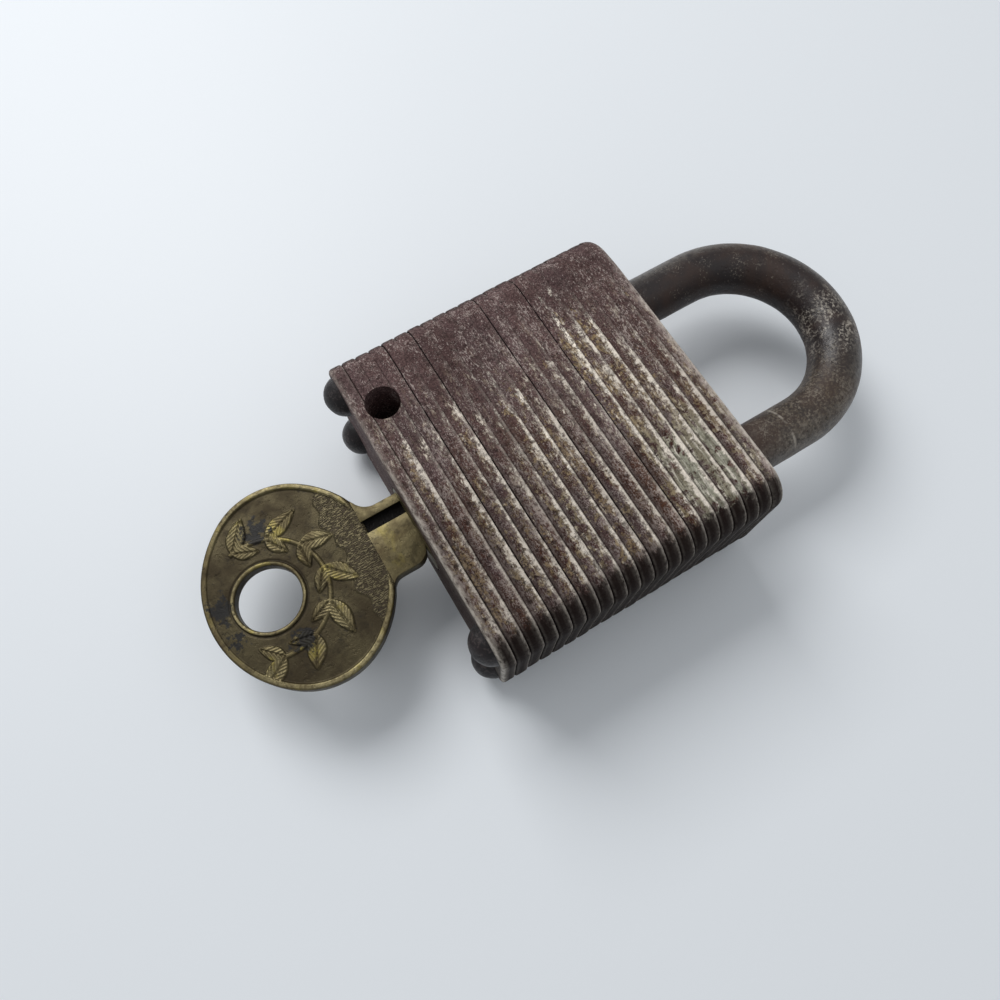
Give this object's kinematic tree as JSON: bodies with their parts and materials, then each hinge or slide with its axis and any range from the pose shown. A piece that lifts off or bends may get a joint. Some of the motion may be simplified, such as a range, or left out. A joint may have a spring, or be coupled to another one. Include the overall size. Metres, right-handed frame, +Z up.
{
  "type": "laminated padlock",
  "caption": "Rusty laminated steel padlock with its shackle closed and a brass key in the keyway, lying on its back.",
  "frame": {"origin": "centre of the flat back face of the body, which the lock lies on", "axes": "+X across the width towards the toe leg, +Y from the key end towards the shackle, +Z up from the back face to the front face"},
  "size_m": [0.0446, 0.0973, 0.0206],
  "materials": {
    "plate_steel": "rust-brown steel plates with worn bright edges",
    "rivet_steel": "near-black oxidised rivet heads",
    "shackle_steel": "dark brown-grey satin steel with rubbed patches",
    "old_brass": "tarnished greenish brass with darker stains",
    "inner_steel": "plain pressed steel, slightly dulled"
  },
  "bodies": {
    "body": {"body_plate_01": "plate_steel", "body_plate_02": "plate_steel", "body_plate_03": "plate_steel", "body_plate_04": "plate_steel", "body_plate_05": "plate_steel", "body_plate_06": "plate_steel", "body_plate_07": "plate_steel", "body_plate_08": "plate_steel", "body_plate_09": "plate_steel", "body_plate_10": "plate_steel", "body_plate_11": "plate_steel", "body_plate_12": "plate_steel", "body_plate_13": "plate_steel", "body_plate_14": "plate_steel", "body_plate_15": "plate_steel", "body_plate_16": "plate_steel", "body_plate_17": "plate_steel", "body_plate_18": "plate_steel", "body_plate_19": "plate_steel", "body_plate_20": "plate_steel", "body_plate_21": "plate_steel", "rivets": "rivet_steel", "cylinder_shell": "old_brass", "chamber_cover": "inner_steel", "shackle_spring": "inner_steel", "lever_spring": "inner_steel", "driver_pin_1": "inner_steel", "driver_pin_2": "inner_steel", "driver_pin_3": "inner_steel", "driver_pin_4": "inner_steel", "pin_spring_1": "inner_steel", "pin_spring_2": "inner_steel", "pin_spring_3": "inner_steel", "pin_spring_4": "inner_steel"},
    "plug": {"plug": "old_brass", "key": "old_brass", "plug_clip": "inner_steel", "cam": "inner_steel", "key_pin_1": "old_brass", "key_pin_2": "old_brass", "key_pin_3": "old_brass", "key_pin_4": "old_brass"},
    "lever_heel": {"lever_heel": "inner_steel"},
    "lever_toe": {"lever_toe": "inner_steel"},
    "shackle": {"shackle": "shackle_steel"}
  },
  "joints": [
    {"name": "plug_turn", "type": "hinge", "parent": "body", "child": "plug", "pos_m": [0, 0, 0.0103], "axis": [0, 1, 0], "range_deg": [0, 90]},
    {"name": "lever_heel_draw", "type": "slide", "parent": "body", "child": "lever_heel", "axis": [1, 0, 0], "range_m": [0, 0.002], "deforming": ["lever_spring"]},
    {"name": "lever_toe_draw", "type": "slide", "parent": "body", "child": "lever_toe", "axis": [-1, 0, 0], "range_m": [0, 0.002], "deforming": ["lever_spring"]},
    {"name": "shackle_lift", "type": "slide", "parent": "body", "child": "shackle", "axis": [0, 1, 0], "range_m": [0, 0.0133], "deforming": ["shackle_spring"]}
  ],
  "couplings": [
    {"joint": "lever_heel_draw", "follows": "plug_turn", "m_per_rad": 0.00127},
    {"joint": "lever_toe_draw", "follows": "plug_turn", "m_per_rad": 0.00127}
  ]
}
